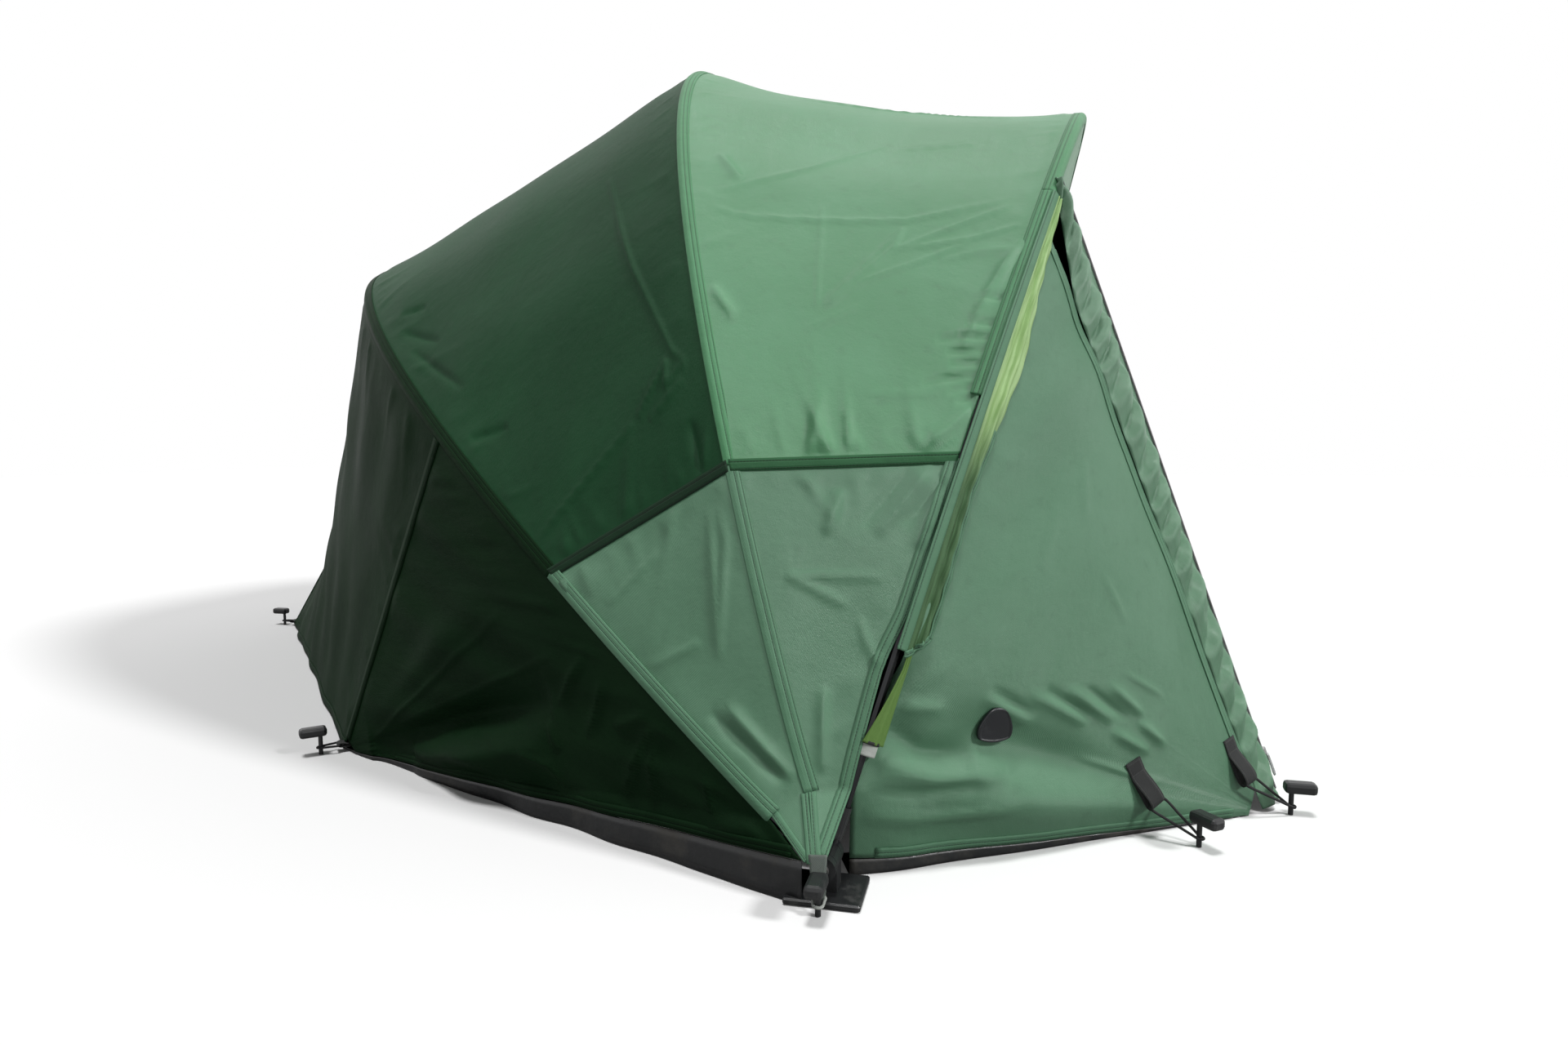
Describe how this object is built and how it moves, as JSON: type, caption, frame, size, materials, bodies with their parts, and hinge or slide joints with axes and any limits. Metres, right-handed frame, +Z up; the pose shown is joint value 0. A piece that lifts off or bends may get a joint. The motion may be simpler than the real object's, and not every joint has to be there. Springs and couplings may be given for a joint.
{
  "type": "bivvy tent",
  "caption": "Low dome shelter: pole hoops turn about ground hubs under a stretched green cloth canopy with a pointed back, front wings and a zipped door.",
  "frame": {"origin": "on the ground at the centre of the whole tent's footprint box", "axes": "+Z up, the door faces -Y, the pointed back is at +Y, hub blocks at -X and +X"},
  "size_m": [2.634, 2.497, 1.3309],
  "materials": {
    "green_cloth": "coated polyester, mid green",
    "grey_green_cloth": "coated polyester, grey-green",
    "sleeve_cloth": "thin yellow-green lining cloth",
    "black_pvc": "black coated cloth",
    "black_plastic": "moulded black plastic",
    "black_pole": "black coated alloy tube",
    "black_webbing": "black webbing and elastic",
    "grey_webbing": "light grey webbing",
    "steel": "plated steel",
    "badge_rubber": "black moulded rubber, bare"
  },
  "bodies": {
    "frame": {"hub_left": "black_plastic", "hub_right": "black_plastic", "hub_bolt_left": "steel", "hub_bolt_right": "steel", "middle_leg_left": "black_pole", "middle_leg_right": "black_pole", "middle_crown": "black_pole", "roof_front_upper": "green_cloth", "roof_rear_upper": "green_cloth", "roof_front_lower_left": "grey_green_cloth", "roof_front_lower_right": "grey_green_cloth", "roof_rear_lower_left": "grey_green_cloth", "roof_rear_lower_right": "grey_green_cloth", "side_peg_left": "black_plastic", "side_peg_right": "black_plastic", "hub_peg_left": "black_plastic", "hub_peg_right": "black_plastic", "tab_peg_left": "black_plastic", "tab_peg_right": "black_plastic", "wing_peg_left": "black_plastic", "wing_peg_right": "black_plastic", "hub_tie_left": "grey_webbing", "hub_tie_right": "grey_webbing", "tail_peg": "black_plastic"},
    "rear_rib": {"rear_knuckle_left": "black_plastic", "rear_knuckle_right": "black_plastic", "rear_leg_left": "black_pole", "rear_leg_right": "black_pole", "side_panel_left": "green_cloth", "side_panel_right": "green_cloth", "back_panel_left": "green_cloth", "back_panel_right": "green_cloth", "mud_flap_rear_left": "black_pvc", "mud_flap_rear_right": "black_pvc", "side_tie_left": "black_webbing", "side_tie_right": "black_webbing", "rear_crown": "black_pole", "tail_tie": "black_webbing"},
    "front_rib": {"front_knuckle_left": "black_plastic", "front_knuckle_right": "black_plastic", "front_leg_left": "black_pole", "front_leg_right": "black_pole", "front_wing_left": "grey_green_cloth", "front_wing_right": "grey_green_cloth", "zip_strip_left": "green_cloth", "zip_strip_right": "green_cloth", "pole_sleeve_left": "sleeve_cloth", "pole_sleeve_right": "sleeve_cloth", "mud_flap_front_left": "black_pvc", "mud_flap_front_right": "black_pvc", "tab_tie_left": "black_webbing", "tab_tie_right": "black_webbing", "corner_tie_left": "black_webbing", "corner_tie_right": "black_webbing", "front_crown": "black_pole", "front_brow": "green_cloth", "badge": "badge_rubber"},
    "door": {"front_door": "green_cloth"},
    "zip_slider_left": {"zip_slider_left": "steel"},
    "zip_slider_right": {"zip_slider_right": "steel"}
  },
  "joints": [
    {"name": "rear_fold", "type": "hinge", "parent": "frame", "child": "rear_rib", "pos_m": [0, -0.6185, 0.04], "axis": [1, 0, 0], "range_deg": [0, 26], "deforming": ["roof_rear_upper", "roof_rear_lower_left", "roof_rear_lower_right", "side_tie_left", "side_tie_right", "tail_tie", "hub_tie_left", "hub_tie_right"]},
    {"name": "front_fold", "type": "hinge", "parent": "frame", "child": "front_rib", "pos_m": [0, -0.6185, 0.04], "axis": [-1, 0, 0], "range_deg": [0, 27], "deforming": ["roof_front_upper", "roof_front_lower_left", "roof_front_lower_right", "tab_tie_left", "tab_tie_right", "corner_tie_left", "corner_tie_right"]},
    {"name": "door_swing", "type": "hinge", "parent": "front_rib", "child": "door", "pos_m": [0, -0.8866, 0.9167], "axis": [-1, 0, 0], "range_deg": [0, 70]},
    {"name": "zip_slide_left", "type": "slide", "parent": "front_rib", "child": "zip_slider_left", "axis": [0.0011, 0.3405, 0.9402], "range_m": [0, 0.7]},
    {"name": "zip_slide_right", "type": "slide", "parent": "front_rib", "child": "zip_slider_right", "axis": [-0.0011, 0.3405, 0.9402], "range_m": [0, 0.7]}
  ]
}
